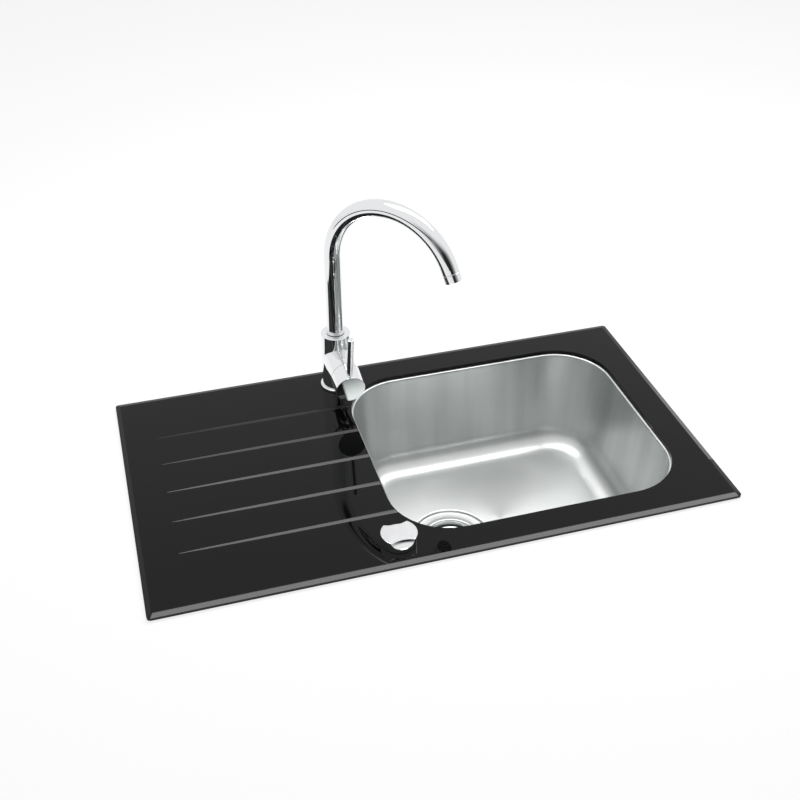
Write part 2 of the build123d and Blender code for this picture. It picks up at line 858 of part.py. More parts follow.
with BuildPart() as pop_up_knob:
    with BuildSketch(disc_plane(knob_x, knob_y, knob_low)):
        Circle(knob_radius)
    extrude(amount=knob_high - knob_low)
    fillet(pop_up_knob.faces().sort_by(Axis.Z)[-1].edges(), radius=knob_edge_radius)
    for side in (-1, 1):
        scoop_place = (knob_x, knob_y + side * scoop_reach, glass_high + scoop_height)
        scoop_centre = (knob_x, knob_y + side * (scoop_reach + scoop_bend_radius), 0)
        with BuildSketch(Plane(origin=scoop_place, z_dir=(1, 0, 0))):
            Circle(scoop_radius)
        revolve(axis=Axis(scoop_centre, (0, 0, 1)), mode=Mode.SUBTRACT)
    with BuildSketch(disc_plane(knob_x, knob_y, knob_low)):
        Circle(housing_flange_radius + knob_cavity_clearance)
    extrude(amount=housing_high + knob_cavity_clearance - knob_low, mode=Mode.SUBTRACT)
    with BuildSketch(disc_plane(knob_x, knob_y, knob_low)):
        Circle(spindle_radius)
    extrude(
        amount=housing_high + knob_cavity_clearance - knob_low + spindle_socket,
        mode=Mode.SUBTRACT,
    )
save(pop_up_knob, "pop_up_knob")

spindle_high = housing_high + knob_cavity_clearance + spindle_socket
with BuildPart() as knob_spindle:
    with BuildSketch(disc_plane(knob_x, knob_y, drum_high)):
        Circle(spindle_radius)
    extrude(amount=spindle_high - drum_high)
    with BuildSketch(disc_plane(knob_x, knob_y, drum_low)):
        Circle(spindle_end_radius)
    extrude(amount=drum_width)
    with BuildSketch(disc_plane(knob_x, knob_y, drum_low)):
        Circle(drum_screw_radius)
    extrude(amount=drum_screw_length, mode=Mode.SUBTRACT)
save(knob_spindle, "knob_spindle")

with BuildPart() as cable_drum:
    with BuildSketch(disc_plane(knob_x, knob_y, drum_low)):
        Circle(drum_flange_radius)
    extrude(amount=drum_width)
    with BuildSketch(disc_plane(knob_x, knob_y, drum_low + drum_flange_thickness)):
        Circle(drum_flange_radius)
        Circle(drum_groove_radius, mode=Mode.SUBTRACT)
    extrude(amount=drum_width - 2 * drum_flange_thickness, mode=Mode.SUBTRACT)
    with BuildSketch(disc_plane(knob_x, knob_y, drum_low)):
        Circle(spindle_end_radius)
    extrude(amount=drum_width, mode=Mode.SUBTRACT)
save(cable_drum, "cable_drum")

with BuildPart() as drum_screw:
    with BuildSketch(disc_plane(knob_x, knob_y, drum_low)):
        Circle(spindle_end_radius + drum_screw_radius)
    extrude(amount=-drum_screw_radius)
    with BuildSketch(disc_plane(knob_x, knob_y, drum_low)):
        Circle(drum_screw_radius)
    extrude(amount=drum_screw_length)
save(drum_screw, "drum_screw")

knob_port_plane = Plane(
    origin=(knob_x - drum_groove_radius, knob_y, drum_middle_z), z_dir=(0, 1, 0)
)
knob_port_reach = case_radius + port_length

with BuildPart() as drum_case:
    with BuildSketch(disc_plane(knob_x, knob_y, housing_low)):
        Circle(case_radius)
    extrude(amount=-case_height)
    with BuildSketch(knob_port_plane):
        Circle(port_radius + port_wall)
    extrude(amount=knob_port_reach)
    with BuildSketch(disc_plane(knob_x, knob_y, housing_low - case_wall)):
        Circle(case_radius - case_wall)
    extrude(amount=case_wall - case_height, mode=Mode.SUBTRACT)
    with BuildSketch(disc_plane(knob_x, knob_y, housing_low)):
        Circle(spindle_radius + running)
    extrude(amount=-case_wall, mode=Mode.SUBTRACT)
    with BuildSketch(knob_port_plane.offset(knob_port_reach)):
        Circle(port_radius)
    extrude(amount=-port_length, mode=Mode.SUBTRACT)
    with BuildSketch(knob_port_plane.offset(knob_port_reach)):
        Circle(port_bore)
    extrude(amount=-knob_port_reach, mode=Mode.SUBTRACT)
save(drum_case, "drum_case")

with BuildPart() as drum_case_lid:
    with BuildSketch(disc_plane(knob_x, knob_y, case_low)):
        Circle(case_radius)
    extrude(amount=-case_wall)
save(drum_case_lid, "drum_case_lid")

knob_cable_gland = cable_gland(knob_port_plane.offset(knob_port_reach))
save(knob_cable_gland, "knob_cable_gland")

# Tap body: an upright barrel with a level housing for the mixing cartridge at the front.
# Distances along the housing are measured from the tap's axis towards the front.
body_low = glass_high + tap_seal_thickness
body_high = glass_high + body_top_height
lever_z = glass_high + lever_height
tube_low = body_high + slip_ring_thickness + collar_height
foot_high = body_high + slip_ring_thickness
foot_low = foot_high - foot_length
foot_bore_floor = foot_low - slip_ring_thickness
stud_y = tap_y + stud_offset


def housing_plane(reach):
    """Plane across the lever housing, looking forwards; its own x is +X and its own y is +Z."""
    return Plane(origin=(tap_x, tap_y - reach, lever_z), x_dir=(1, 0, 0), z_dir=(0, -1, 0))


with BuildPart() as tap_base_seal:
    with BuildSketch(disc_plane(tap_x, tap_y, glass_high)):
        Circle(base_ring_radius - free_gap)
        Circle(tap_hole_radius, mode=Mode.SUBTRACT)
    extrude(amount=tap_seal_thickness)
save(tap_base_seal, "tap_base_seal")

with BuildPart() as tap_base_ring:
    with BuildSketch(disc_plane(tap_x, tap_y, body_low)):
        Circle(base_ring_radius)
        Circle(body_radius + thread_gap, mode=Mode.SUBTRACT)
    extrude(amount=base_ring_height)
    ring_top = tap_base_ring.faces().sort_by(Axis.Z)[-1]
    fillet(ring_top.outer_wire().edges(), radius=base_ring_edge)
save(tap_base_ring, "tap_base_ring")

inlet_z = lever_z - inlet_port_drop
inlet_places = ((-port_ring_x, -inlet_setback), (port_ring_x, -inlet_setback))
outlet_z = lever_z + outlet_port_rise
with BuildPart() as tap_body:
    with BuildSketch(disc_plane(tap_x, tap_y, body_low)):
        Circle(body_radius)
    extrude(amount=body_high - body_low)
    chamfer(tap_body.faces().sort_by(Axis.Z)[-1].edges(), length=body_edge)
    with BuildSketch(housing_plane(0)):
        Circle(housing_radius)
    extrude(amount=seam_reach)
    with BuildSketch(housing_plane(cartridge_back)):
        Circle(cartridge_radius + running)
    extrude(amount=seam_reach - cartridge_back, mode=Mode.SUBTRACT)
    with BuildSketch(housing_plane(cartridge_shoulder)):
        Circle(nut_radius + thread_gap)
    extrude(amount=seam_reach - cartridge_shoulder, mode=Mode.SUBTRACT)
    with BuildSketch(disc_plane(tap_x, tap_y, foot_bore_floor)):
        Circle(foot_radius + running)
    extrude(amount=body_high - foot_bore_floor, mode=Mode.SUBTRACT)
    with BuildSketch(disc_plane(tap_x, tap_y, body_low)):
        with Locations(*inlet_places):
            Circle(inlet_thread_radius)
    extrude(amount=inlet_thread_depth, mode=Mode.SUBTRACT)
    with BuildSketch(disc_plane(tap_x, tap_y, body_low)):
        with Locations(*inlet_places):
            Circle(passage_radius)
    extrude(amount=inlet_z + passage_radius + drill_overrun - body_low, mode=Mode.SUBTRACT)
    with BuildSketch(housing_plane(cartridge_back)):
        with Locations((-port_ring_x, -inlet_port_drop), (port_ring_x, -inlet_port_drop)):
            Circle(cross_passage_radius)
    extrude(amount=inlet_setback - cartridge_back, mode=Mode.SUBTRACT)
    with BuildSketch(housing_plane(cartridge_back)):
        with Locations((0, outlet_port_rise)):
            Circle(cross_passage_radius)
    extrude(amount=-cartridge_back, mode=Mode.SUBTRACT)
    with BuildSketch(disc_plane(tap_x, tap_y, outlet_z - passage_radius - drill_overrun)):
        Circle(passage_radius)
    extrude(amount=foot_bore_floor - outlet_z + passage_radius + drill_overrun, mode=Mode.SUBTRACT)
    with BuildSketch(disc_plane(tap_x, stud_y, body_low)):
        Circle(stud_radius)
    extrude(amount=stud_hold, mode=Mode.SUBTRACT)
    stop_screw_z = foot_low + stop_groove_height
    stop_screw_plane = Plane(origin=(tap_x, tap_y, stop_screw_z), z_dir=(0, 1, 0))
    with BuildSketch(stop_screw_plane):
        Circle(stop_screw_radius + thread_gap)
    extrude(amount=body_radius, mode=Mode.SUBTRACT)
save(tap_body, "tap_body")

# Spout: a swan-neck tube brazed on a foot that turns in the body
spout_across = (cos(radians(spout_azimuth)), sin(radians(spout_azimuth)), 0)
spout_section = Plane(
    origin=(tap_x, tap_y, 0),
    x_dir=spout_across,
    z_dir=(spout_across[1], -spout_across[0], 0),
)
bend_z = glass_high + bend_start_height
stop_tip = foot_radius - stop_groove_depth + free_gap

with BuildPart() as spout_tube:
    with BuildLine(spout_section) as spout_path:
        Line((0, tube_low), (0, bend_z))
        CenterArc((bend_radius, bend_z), bend_radius, 180, -bend_angle)
        tip_start = (
            bend_radius - bend_radius * cos(radians(bend_angle)),
            bend_z + bend_radius * sin(radians(bend_angle)),
        )
        tip_end = (
            tip_start[0] + tip_length * sin(radians(bend_angle)),
            tip_start[1] + tip_length * cos(radians(bend_angle)),
        )
        Line(tip_start, tip_end)
    with BuildSketch(disc_plane(tap_x, tap_y, tube_low)):
        Circle(tube_radius)
        Circle(tube_radius - tube_wall, mode=Mode.SUBTRACT)
    sweep(path=spout_path.line)
save(spout_tube, "spout_tube")

with BuildPart() as spout_foot:
    with BuildSketch(disc_plane(tap_x, tap_y, foot_low)):
        Circle(foot_radius)
    extrude(amount=foot_length)
    with BuildSketch(disc_plane(tap_x, tap_y, foot_high)):
        Circle(collar_radius)
    extrude(amount=collar_height)
    with BuildSketch(disc_plane(tap_x, tap_y, tube_low)):
        Circle(tube_radius - tube_wall)
    extrude(amount=foot_braze_length)
    with BuildSketch(disc_plane(tap_x, tap_y, stop_screw_z - stop_groove_width / 2)):
        Circle(foot_radius)
        Circle(foot_radius - stop_groove_depth, mode=Mode.SUBTRACT)
    extrude(amount=stop_groove_width, mode=Mode.SUBTRACT)
    for o_ring_height in o_ring_heights:
        with BuildSketch(disc_plane(tap_x, tap_y, foot_low + o_ring_height)):
            Circle(foot_radius)
            Circle(foot_radius - o_ring_section, mode=Mode.SUBTRACT)
        extrude(amount=o_ring_section, mode=Mode.SUBTRACT)
    with BuildSketch(disc_plane(tap_x, tap_y, foot_low)):
        Circle(foot_bore_radius)
    extrude(amount=tube_low + foot_braze_length - foot_low, mode=Mode.SUBTRACT)
save(spout_foot, "spout_foot")

with BuildPart() as spout_o_rings:
    for o_ring_height in o_ring_heights:
        with BuildSketch(disc_plane(tap_x, tap_y, foot_low + o_ring_height)):
            Circle(foot_radius)
            Circle(foot_radius - o_ring_section, mode=Mode.SUBTRACT)
        extrude(amount=o_ring_section)
save(spout_o_rings, "spout_o_rings")

with BuildPart() as spout_slip_ring:
    with BuildSketch(disc_plane(tap_x, tap_y, body_high)):
        Circle(collar_radius - free_gap)
        Circle(foot_radius + running, mode=Mode.SUBTRACT)
    extrude(amount=slip_ring_thickness)
save(spout_slip_ring, "spout_slip_ring")

with BuildPart() as spout_stop_screw:
    with BuildSketch(stop_screw_plane.offset(stop_tip)):
        Circle(stop_screw_radius)
    extrude(amount=stop_screw_length)
    with BuildSketch(stop_screw_plane.offset(stop_tip + stop_screw_length)):
        RegularPolygon(stop_screw_radius / 2, 6)
    extrude(amount=-stop_screw_radius, mode=Mode.SUBTRACT)
save(spout_stop_screw, "spout_stop_screw")

# Aerator screwed into the spout's tip
tip_place = spout_section.from_local_coords(Vector(*tip_end, 0))
tip_out = spout_section.from_local_coords(
    Vector(tip_end[0] + sin(radians(bend_angle)), tip_end[1] + cos(radians(bend_angle)), 0)
) - tip_place
tip_plane = Plane(origin=tip_place, z_dir=tip_out)
aerator_bore = tube_radius - tube_wall - thread_gap - aerator_wall

with BuildPart() as aerator_shell:
    with BuildSketch(tip_plane.offset(aerator_seam)):
        Circle(aerator_radius)
    extrude(amount=aerator_length - aerator_seam)
    chamfer(aerator_shell.edges(), length=aerator_edge)
    with BuildSketch(tip_plane.offset(aerator_seam)):
        Circle(tube_radius - tube_wall - thread_gap)
    extrude(amount=-aerator_seam - aerator_neck_length)
    with BuildSketch(tip_plane.offset(-aerator_neck_length)):
        Circle(aerator_bore)
    extrude(amount=aerator_neck_length + aerator_length - aerator_lip, mode=Mode.SUBTRACT)
    with BuildSketch(tip_plane.offset(aerator_length)):
        Circle(aerator_lip_radius)
    extrude(amount=-aerator_lip, mode=Mode.SUBTRACT)
save(aerator_shell, "aerator_shell")

insert_low = aerator_length - aerator_lip
insert_length = insert_low + aerator_neck_length - aerator_seal_thickness
with BuildPart() as aerator_insert:
    with BuildSketch(tip_plane.offset(insert_low)):
        Circle(aerator_bore)
        for ring in (1, 2):
            ring_radius = ring * aerator_bore / 3
            with PolarLocations(ring_radius, ring * aerator_cell_count):
                Circle(aerator_cell_radius, mode=Mode.SUBTRACT)
        Circle(aerator_cell_radius, mode=Mode.SUBTRACT)
    extrude(amount=-insert_length)
save(aerator_insert, "aerator_insert")

with BuildPart() as aerator_seal:
    with BuildSketch(tip_plane.offset(-aerator_neck_length)):
        Circle(tube_radius - tube_wall - thread_gap)
        Circle(aerator_lip_radius - aerator_lip, mode=Mode.SUBTRACT)
    extrude(amount=-aerator_seal_thickness)
save(aerator_seal, "aerator_seal")

# Mixing cartridge in the lever housing
port_places = (
    (-port_ring_x, -inlet_port_drop),
    (port_ring_x, -inlet_port_drop),
    (0, outlet_port_rise),
)
cartridge_base = cartridge_back + cartridge_seal_thickness
neck_end_reach = seam_reach - free_gap
lever_pivot = (tap_x, tap_y - seam_reach, lever_z)

with BuildPart() as cartridge_seals:
    with BuildSketch(housing_plane(cartridge_back)):
        with Locations(*port_places):
            Circle(passage_radius + cartridge_seal_thickness)
            Circle(passage_radius, mode=Mode.SUBTRACT)
    extrude(amount=cartridge_seal_thickness)
save(cartridge_seals, "cartridge_seals")

with BuildPart() as cartridge_body:
    with BuildSketch(housing_plane(cartridge_base)):
        Circle(cartridge_radius)
    extrude(amount=cartridge_shoulder - cartridge_base)
    with BuildSketch(housing_plane(cartridge_base)):
        Circle(cartridge_neck_radius)
    extrude(amount=neck_end_reach - cartridge_base)
    with BuildSketch(housing_plane(disc_seat)):
        Circle(cartridge_bore_radius + running)
    extrude(amount=neck_end_reach - disc_seat, mode=Mode.SUBTRACT)
    with BuildSketch(housing_plane(cartridge_base)):
        with Locations(*port_places):
            Circle(passage_radius)
    extrude(amount=disc_seat - cartridge_base, mode=Mode.SUBTRACT)
save(cartridge_body, "cartridge_body")

with BuildPart() as fixed_ceramic_disc:
    with BuildSketch(housing_plane(disc_seat)):
        Circle(cartridge_bore_radius)
        with Locations(*port_places):
            Circle(passage_radius, mode=Mode.SUBTRACT)
    extrude(amount=disc_thickness)
save(fixed_ceramic_disc, "fixed_ceramic_disc")

# The moving disc slides over the fixed one as the stem's tail pushes it, and it is closed at rest
disc_travel = stem_back * radians(lever_lift)
moving_disc_reach = disc_seat + disc_thickness
carrier_reach = moving_disc_reach + disc_thickness
moving_disc_radius = cartridge_bore_radius - disc_travel / 2 - free_gap
moving_disc_rise = -disc_travel / 2

with BuildPart() as moving_ceramic_disc:
    with BuildSketch(housing_plane(moving_disc_reach)):
        with Locations((0, moving_disc_rise)):
            Circle(moving_disc_radius)
        with Locations((0, moving_disc_rise)):
            Rectangle(3 * passage_radius, passage_radius, mode=Mode.SUBTRACT)
    extrude(amount=disc_thickness)
save(moving_ceramic_disc, "moving_ceramic_disc")

with BuildPart() as disc_carrier:
    with BuildSketch(housing_plane(carrier_reach)):
        with Locations((0, moving_disc_rise)):
            Circle(moving_disc_radius)
    extrude(amount=carrier_length)
    with BuildSketch(housing_plane(carrier_reach + carrier_length)):
        with Locations((0, moving_disc_rise + carrier_pocket_start)):
            Rectangle(
                2 * (tail_radius + free_gap),
                carrier_pocket_height,
                align=(Align.CENTER, Align.MIN),
            )
    extrude(amount=carrier_floor - carrier_length, mode=Mode.SUBTRACT)
save(disc_carrier, "disc_carrier")

collar_back_reach = carrier_reach + carrier_length + free_gap
collar_length = seam_reach + collar_nose - collar_back_reach
with BuildPart() as cartridge_collar:
    with BuildSketch(housing_plane(collar_back_reach)):
        Circle(cartridge_bore_radius)
        with Locations((0, -collar_slot_drop)):
            Rectangle(
                2 * (stem_radius + free_gap),
                2 * cartridge_bore_radius,
                align=(Align.CENTER, Align.MIN),
                mode=Mode.SUBTRACT,
            )
    extrude(amount=collar_length)
    with BuildSketch(Plane(origin=lever_pivot, z_dir=(1, 0, 0))):
        Circle(stem_pin_radius)
    extrude(amount=stem_pin_length / 2, both=True, mode=Mode.SUBTRACT)
save(cartridge_collar, "cartridge_collar")

with BuildPart() as stem_pivot_pin:
    with BuildSketch(Plane(origin=lever_pivot, z_dir=(1, 0, 0))):
        Circle(stem_pin_radius)
    extrude(amount=stem_pin_length / 2, both=True)
save(stem_pivot_pin, "stem_pivot_pin")

# The stem, cap and pin are drawn in a plane that leans with the cap, its z along the cap's axis
cap_plane = Plane(
    origin=lever_pivot,
    x_dir=(1, 0, 0),
    z_dir=(0, -cos(radians(lever_rest_lean)), -sin(radians(lever_rest_lean))),
)
with BuildPart() as cartridge_stem:
    with BuildSketch(cap_plane.offset(-stem_radius)):
        Circle(stem_radius)
    extrude(amount=stem_radius + stem_reach)
    with BuildSketch(cap_plane.offset(-stem_back)):
        Circle(tail_radius)
    extrude(amount=stem_back)
    with BuildSketch(Plane(origin=lever_pivot, z_dir=(1, 0, 0))):
        Circle(stem_pin_radius + running)
    extrude(amount=stem_radius, both=True, mode=Mode.SUBTRACT)
save(cartridge_stem, "cartridge_stem")

with BuildPart() as cartridge_nut:
    with BuildSketch(housing_plane(cartridge_shoulder)):
        Circle(nut_radius)
        Circle(cartridge_neck_radius + free_gap, mode=Mode.SUBTRACT)
    extrude(amount=neck_end_reach - cartridge_shoulder)
    with BuildSketch(housing_plane(neck_end_reach)):
        with PolarLocations(nut_radius, nut_notch_count):
            Rectangle(nut_notch_size, nut_notch_size)
    extrude(amount=-nut_notch_size / 2, mode=Mode.SUBTRACT)
save(cartridge_nut, "cartridge_nut")

with BuildPart() as cartridge_cover:
    with BuildSketch(housing_plane(seam_reach)):
        Circle(cover_radius)
    extrude(amount=cover_height)
    with BuildSketch(housing_plane(seam_reach)):
        Circle(cover_radius - cover_wall)
    extrude(amount=cover_height - cover_wall, mode=Mode.SUBTRACT)
    with BuildSketch(housing_plane(seam_reach)):
        Circle(cover_hole_radius)
    extrude(amount=cover_height, mode=Mode.SUBTRACT)
save(cartridge_cover, "cartridge_cover")

# Lever cap: closed at the front, its rear cut flush with the housing above the pivot and
# cut back below it, so that the cap can tip forwards
tip_angle = radians(lever_lift + lever_relief)
flush_plane = Plane(
    origin=(tap_x, tap_y - seam_reach - seam_gap, lever_z), z_dir=(0, -1, 0)
)
relief_plane = Plane(origin=lever_pivot, z_dir=(0, -cos(tip_angle), sin(tip_angle))).offset(
    seam_gap
)
lean_up = Vector(0, -sin(radians(lever_rest_lean)), cos(radians(lever_rest_lean)))
pin_lean_total = radians(lever_rest_lean + pin_lean)
pin_up = Vector(0, -sin(pin_lean_total), cos(pin_lean_total))
pin_root = cap_plane.from_local_coords(Vector(0, cap_radius - pin_socket_depth, pin_reach))
pin_plane = Plane(origin=pin_root, x_dir=(1, 0, 0), z_dir=pin_up)
grub_root = cap_plane.from_local_coords(Vector(0, -stem_radius, grub_reach))
grub_plane = Plane(origin=grub_root, x_dir=(1, 0, 0), z_dir=-lean_up)
cap_inner_radius = cap_radius - cap_wall

with BuildPart() as lever_cap:
    with BuildSketch(cap_plane.offset(-cap_wall - cap_radius / 4)):
        Circle(cap_radius)
    extrude(amount=cap_length + cap_wall + cap_radius / 4)
    front_rim = lever_cap.edges().filter_by(GeomType.CIRCLE).sort_by(Axis.Y)[0]
    fillet(front_rim, radius=cap_edge)
    for rear_plane in (flush_plane, relief_plane):
        with BuildSketch(rear_plane):
            Rectangle(4 * cap_radius, 4 * cap_radius)
        extrude(amount=-2 * cap_radius, mode=Mode.SUBTRACT)
    with BuildSketch(cap_plane.offset(cap_cavity_depth)):
        Circle(cap_inner_radius)
        Circle(cap_boss_radius, mode=Mode.SUBTRACT)
        Rectangle(
            cap_rib_width, 2 * cap_radius, align=(Align.CENTER, Align.MAX), mode=Mode.SUBTRACT
        )
    extrude(amount=-cap_cavity_depth + cap_rib_start, mode=Mode.SUBTRACT)
    with BuildSketch(cap_plane.offset(cap_rib_start)):
        Circle(cap_inner_radius)
        Circle(cap_boss_radius, mode=Mode.SUBTRACT)
    extrude(amount=-cap_rib_start + cap_boss_start, mode=Mode.SUBTRACT)
    with BuildSketch(cap_plane.offset(cap_boss_start)):
        Circle(cap_inner_radius)
    extrude(amount=-cap_boss_start - cap_radius, mode=Mode.SUBTRACT)
    with BuildSketch(cap_plane.offset(cap_boss_start)):
        Circle(stem_radius)
    extrude(amount=stem_reach - cap_boss_start, mode=Mode.SUBTRACT)
    with BuildSketch(pin_plane):
        Circle(pin_radius)
    extrude(amount=pin_radius, mode=Mode.SUBTRACT)
    with BuildSketch(pin_plane):
        Circle(pin_stub_radius)
    extrude(amount=-pin_stub_length, mode=Mode.SUBTRACT)
    with BuildSketch(grub_plane):
        Circle(grub_screw_radius)
    extrude(amount=cap_radius, mode=Mode.SUBTRACT)
save(lever_cap, "lever_cap")

with BuildPart() as lever_pin:
    with BuildSketch(pin_plane):
        Circle(pin_radius)
    extrude(amount=pin_length)
    fillet(lever_pin.faces().sort_by(Axis.Z)[-1].edges(), radius=pin_tip_edge)
    with BuildSketch(pin_plane):
        Circle(pin_stub_radius)
    extrude(amount=-pin_stub_length)
save(lever_pin, "lever_pin")

with BuildPart() as lever_grub_screw:
    with BuildSketch(grub_plane):
        Circle(grub_screw_radius)
    extrude(amount=grub_screw_length)
    with BuildSketch(grub_plane.offset(grub_screw_length)):
        RegularPolygon(grub_screw_radius / 2, 6)
    extrude(amount=-grub_screw_radius, mode=Mode.SUBTRACT)
save(lever_grub_screw, "lever_grub_screw")

# Fixing of the tap: a stud, a horseshoe gasket and plate, and a long nut under the glass
stud_high = body_low + stud_hold
clamp_gasket_low = glass_low - clamp_gasket_thickness
clamp_plate_low = clamp_gasket_low - clamp_plate_thickness

with BuildPart() as tap_stud:
    with BuildSketch(disc_plane(tap_x, stud_y, stud_high)):
        Circle(stud_radius)
    extrude(amount=-stud_length)
save(tap_stud, "tap_stud")


def horseshoe(high, thickness):
    """Disc under the glass round the tap's hole, open to the front for the two hoses."""
    with BuildPart() as shoe:
        with BuildSketch(disc_plane(tap_x, tap_y, high)):
            Circle(clamp_radius)
            with Locations((0, clamp_slot_start)):
                Rectangle(
                    2 * clamp_slot_half,
                    2 * clamp_radius,
                    align=(Align.CENTER, Align.MAX),
                    mode=Mode.SUBTRACT,
                )
            with Locations((0, stud_offset)):
                Circle(stud_radius + free_gap, mode=Mode.SUBTRACT)
        extrude(amount=-thickness)
    return shoe


tap_clamp_gasket = horseshoe(glass_low, clamp_gasket_thickness)
save(tap_clamp_gasket, "tap_clamp_gasket")

tap_clamp_plate = horseshoe(clamp_gasket_low, clamp_plate_thickness)
save(tap_clamp_plate, "tap_clamp_plate")

with BuildPart() as stud_nut:
    with BuildSketch(disc_plane(tap_x, stud_y, clamp_plate_low)):
        RegularPolygon(stud_nut_across_flats / 2, 6, major_radius=False)
        Circle(stud_radius + thread_gap, mode=Mode.SUBTRACT)
    extrude(amount=-stud_nut_length)
save(stud_nut, "stud_nut")
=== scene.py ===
# %% [markdown]
# # A kitchen sink with a black glass top
# The construction of this sink is ready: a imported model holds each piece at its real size, on the body it moves with.
# This lesson gives it its looks. It sets the camera and a soft white studio, then goes through the finishes one by one.

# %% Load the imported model
import math

import bmesh
import bpy
from mathutils import Matrix, Vector

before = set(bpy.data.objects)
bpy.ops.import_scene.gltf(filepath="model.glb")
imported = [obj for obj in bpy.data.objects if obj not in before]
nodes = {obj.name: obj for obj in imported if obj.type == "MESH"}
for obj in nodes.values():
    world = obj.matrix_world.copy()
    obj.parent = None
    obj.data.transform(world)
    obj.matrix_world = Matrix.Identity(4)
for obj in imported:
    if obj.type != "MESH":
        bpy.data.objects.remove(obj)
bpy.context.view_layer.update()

# %% [markdown]
# ## Camera
# A product picture of a sink is taken from above the worktop's front edge, so that the bowl's floor shows. The camera
# stands in front and a little to the left of the sink, and looks down by a little over 36 degrees. It is turned with
# three rotations, one after the other: about its own line of sight, then up, then round the room.

# %% Camera
camera_place = Vector((-0.4120, -1.3303, 1.1318))
camera_down = math.radians(36.475)
camera_round = math.radians(16.346)
camera_roll = math.radians(0.05)
camera_lens = 50.03
film_width = 36.0

camera_data = bpy.data.cameras.new("camera")
camera_data.lens = camera_lens
camera_data.sensor_width = film_width
camera = bpy.data.objects.new("camera", camera_data)
camera.matrix_world = (
    Matrix.Translation(camera_place)
    @ Matrix.Rotation(-camera_round, 4, "Z")
    @ Matrix.Rotation(math.pi / 2 - camera_down, 4, "X")
    @ Matrix.Rotation(camera_roll, 4, "Z")
)
bpy.context.scene.collection.objects.link(camera)
bpy.context.scene.camera = camera
print("camera at", tuple(round(value, 3) for value in camera_place))

# %% [markdown]
# ## Helpers for finishes
# Every finish here is one Principled shader and a few texture nodes that read Object coordinates. The pieces stand at
# the origin with their place in their mesh, so Object coordinates are metres in the sink's own frame, and a pattern
# has the same scale on every piece. Values that are the same all over a surface are typed into the shader's sockets.

# %% Helpers for finishes
def new_finish(name, **sockets):
    """A material with one Principled shader, and its socket values."""
    material = bpy.data.materials.new(name)
    material.use_nodes = True
    shader = material.node_tree.nodes["Principled BSDF"]
    for socket, value in sockets.items():
        shader.inputs[socket.replace("_", " ")].default_value = value
    return material, material.node_tree, shader


def add_node(tree, kind, **settings):
    """A node of a kind, with its settings."""
    node = tree.nodes.new(kind)
    for setting, value in settings.items():
        setattr(node, setting, value)
    return node


def object_place(tree, stretch=(1, 1, 1)):
    """Object coordinates, stretched along each axis."""
    coordinates = add_node(tree, "ShaderNodeTexCoord")
    mapping = add_node(tree, "ShaderNodeMapping")
    mapping.inputs["Scale"].default_value = stretch
    tree.links.new(coordinates.outputs["Object"], mapping.inputs["Vector"])
    return mapping.outputs["Vector"]


def noise(tree, scale, detail=2.0, stretch=(1, 1, 1)):
    """Cloudy grey noise, with scale features to the metre."""
    texture = add_node(tree, "ShaderNodeTexNoise")
    texture.inputs["Scale"].default_value = scale
    texture.inputs["Detail"].default_value = detail
    tree.links.new(object_place(tree, stretch), texture.inputs["Vector"])
    return texture.outputs["Fac"]


def spread(tree, value, low, high, start=0.3, end=0.7):
    """Value from start to end, spread from low to high."""
    ranged = add_node(tree, "ShaderNodeMapRange")
    for socket, number in (("From Min", start), ("From Max", end), ("To Min", low), ("To Max", high)):
        ranged.inputs[socket].default_value = number
    tree.links.new(value, ranged.inputs["Value"])
    return ranged.outputs["Result"]


def tint(tree, value, dark, light, start=0.3, end=0.7):
    """A colour between dark and light, as value goes from start to end."""
    ramp = add_node(tree, "ShaderNodeValToRGB")
    ramp.color_ramp.elements[0].position = start
    ramp.color_ramp.elements[0].color = (*dark, 1)
    ramp.color_ramp.elements[1].position = end
    ramp.color_ramp.elements[1].color = (*light, 1)
    tree.links.new(value, ramp.inputs["Fac"])
    return ramp.outputs["Color"]


def two_colours(tree, mask, first, second):
    """The first colour where the mask is 0 and the second where it is 1."""
    mix = add_node(tree, "ShaderNodeMix", data_type="RGBA")
    tree.links.new(mask, mix.inputs["Factor"])
    tree.links.new(first, mix.inputs["A"])
    tree.links.new(second, mix.inputs["B"])
    return mix.outputs["Result"]


def two_shaders(tree, mask, first, second):
    """The first shader where the mask is 0 and the second where it is 1."""
    mix = add_node(tree, "ShaderNodeMixShader")
    tree.links.new(mask, mix.inputs["Fac"])
    tree.links.new(first, mix.inputs[1])
    tree.links.new(second, mix.inputs[2])
    return mix.outputs["Shader"]


def arithmetic(tree, operation, first, second):
    """Two values joined by one operation of a Math node."""
    node = add_node(tree, "ShaderNodeMath", operation=operation)
    tree.links.new(first, node.inputs[0])
    tree.links.new(second, node.inputs[1])
    return node.outputs["Value"]


def product(tree, *masks):
    """Masks multiplied together."""
    result = masks[0]
    for mask in masks[1:]:
        result = arithmetic(tree, "MULTIPLY", result, mask)
    return result


def axes(tree, vector):
    """A vector's X, Y and Z as sockets."""
    parts = add_node(tree, "ShaderNodeSeparateXYZ")
    tree.links.new(vector, parts.inputs["Vector"])
    return parts.outputs["X"], parts.outputs["Y"], parts.outputs["Z"]


def vector_step(tree, operation, first, second=None):
    """One step of vector arithmetic on a socket and a fixed vector."""
    node = add_node(tree, "ShaderNodeVectorMath", operation=operation)
    tree.links.new(first, node.inputs[0])
    if second is not None:
        node.inputs[1].default_value = second
    return node.outputs["Value" if operation in ("LENGTH", "DOT_PRODUCT") else "Vector"]


def relief(tree, shader, height, depth):
    """Bump on a shader, where height 1 stands a depth in metres above height 0."""
    bump = add_node(tree, "ShaderNodeBump")
    bump.inputs["Strength"].default_value = 1.0
    bump.inputs["Distance"].default_value = depth
    tree.links.new(height, bump.inputs["Height"])
    tree.links.new(bump.outputs["Normal"], shader.inputs["Normal"])


